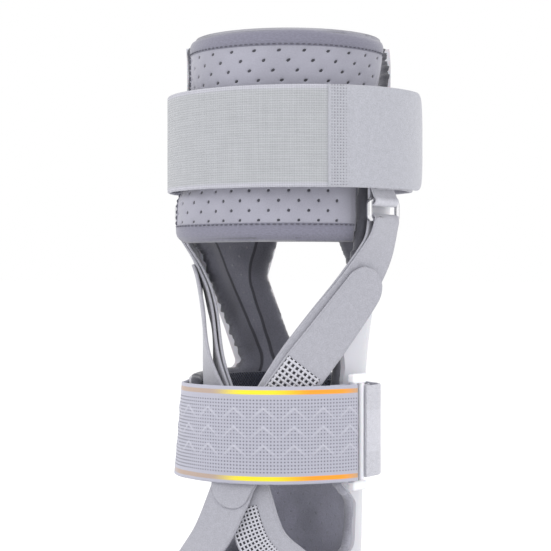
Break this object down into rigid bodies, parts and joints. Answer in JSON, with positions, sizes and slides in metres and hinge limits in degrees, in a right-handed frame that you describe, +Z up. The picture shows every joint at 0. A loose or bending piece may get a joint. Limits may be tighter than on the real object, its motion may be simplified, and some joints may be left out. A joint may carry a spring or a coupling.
{
  "type": "ankle foot orthosis",
  "caption": "Left ankle foot orthosis: moulded calf and foot shell with dark lining, shin pad, wide calf strap, straps crossing over the ankle and an elastic ankle band.",
  "frame": {"origin": "on the floor under the centre of the ankle", "axes": "+Z up, -Y towards the toes, +X towards the outer (lateral) side of a left leg"},
  "size_m": [0.1419, 0.2821, 0.316],
  "materials": {
    "shell_plastic": "satin moulded polypropylene",
    "ring_plastic": "smooth moulded plastic",
    "liner_foam": "dark grey perforated lining",
    "navy_mesh": "dark spacer mesh",
    "elastic_grey": "ribbed elastic webbing",
    "hook_grey": "brushed grey webbing",
    "pad_grey": "perforated lavender-grey fabric",
    "binding_grey": "stitched edge binding",
    "foam_grey": "soft foam",
    "band_grey": "woven elastic with raised zigzags",
    "webbing_grey": "brushed webbing",
    "steel": "polished wire",
    "rivet": "satin rivet"
  },
  "bodies": {
    "root": {"shell": "shell_plastic", "shell_liner": "liner_foam", "footbed": "liner_foam", "ankle_pad": "navy_mesh", "calf_strap_rear": "elastic_grey", "calf_strap_receiver": "hook_grey", "calf_strap_rivets": "rivet", "shin_pad_hinge_tape": "webbing_grey", "ring_tab_lateral": "webbing_grey", "ring_tab_medial": "webbing_grey", "ring_tab_rivets": "rivet", "cross_strap_lateral": "webbing_grey", "cross_strap_medial": "webbing_grey", "foot_anchor_rivets": "rivet", "ring_keeper": "band_grey", "keeper_rivets": "rivet", "ankle_landing_patch": "liner_foam"},
    "calf_strap": {"calf_strap_front": "elastic_grey"},
    "calf_tab": {"calf_strap_tab": "hook_grey"},
    "shin_pad": {"shin_pad_face": "pad_grey", "shin_pad_foam": "foam_grey", "shin_pad_lining": "liner_foam", "shin_pad_binding": "binding_grey"},
    "ankle_ring": {"ankle_ring": "ring_plastic"},
    "ankle_band": {"ankle_band": "band_grey", "ankle_hook_tab": "hook_grey"},
    "cross_tab_lateral": {"cross_tab_lateral": "hook_grey"},
    "cross_tab_medial": {"cross_tab_medial": "hook_grey"},
    "d_ring_lateral": {"d_ring_lateral": "steel", "strap_bight_lateral": "webbing_grey"},
    "d_ring_medial": {"d_ring_medial": "steel", "strap_bight_medial": "webbing_grey"}
  },
  "joints": [
    {"name": "calf_strap_swing", "type": "hinge", "parent": "root", "child": "calf_strap", "pos_m": [-0.067, 0.021, 0.2585], "axis": [0, 0, -1], "range_deg": [0, 90]},
    {"name": "calf_tab_peel", "type": "hinge", "parent": "calf_strap", "child": "calf_tab", "pos_m": [0.04113, -0.03142, 0.2585], "axis": [0, 0, -1], "range_deg": [0, 45]},
    {"name": "shin_pad_swing", "type": "hinge", "parent": "root", "child": "shin_pad", "pos_m": [-0.0525, 0, 0.26], "axis": [0, 0, -1], "range_deg": [0, 67.5]},
    {"name": "ankle_ring_swing", "type": "hinge", "parent": "root", "child": "ankle_ring", "pos_m": [0.05228, -0.01252, 0.105], "axis": [0, 0, 1], "range_deg": [0, 30]},
    {"name": "ankle_band_swing", "type": "hinge", "parent": "ankle_ring", "child": "ankle_band", "pos_m": [0.05007, -0.01923, 0.105], "axis": [0, 0, 1], "range_deg": [0, 80]},
    {"name": "cross_tab_lateral_peel", "type": "hinge", "parent": "root", "child": "cross_tab_lateral", "pos_m": [0.02942, -0.03603, 0.14135], "axis": [0.6745, 0.3619, -0.6434], "range_deg": [0, 50]},
    {"name": "cross_tab_medial_peel", "type": "hinge", "parent": "root", "child": "cross_tab_medial", "pos_m": [-0.02972, -0.02613, 0.13722], "axis": [0.393, -0.6451, 0.6553], "range_deg": [0, 50]},
    {"name": "d_ring_lateral_swing", "type": "hinge", "parent": "root", "child": "d_ring_lateral", "pos_m": [0.05987, 0.00307, 0.226], "axis": [-0.2419, -0.9703, 0], "range_deg": [0, 20]},
    {"name": "d_ring_medial_swing", "type": "hinge", "parent": "root", "child": "d_ring_medial", "pos_m": [-0.0611, 0.02659, 0.226], "axis": [0.1392, 0.9903, 0], "range_deg": [0, 20]}
  ],
  "couplings": [
    {"joint": "shin_pad_swing", "follows": "calf_strap_swing", "ratio": 0.75}
  ]
}
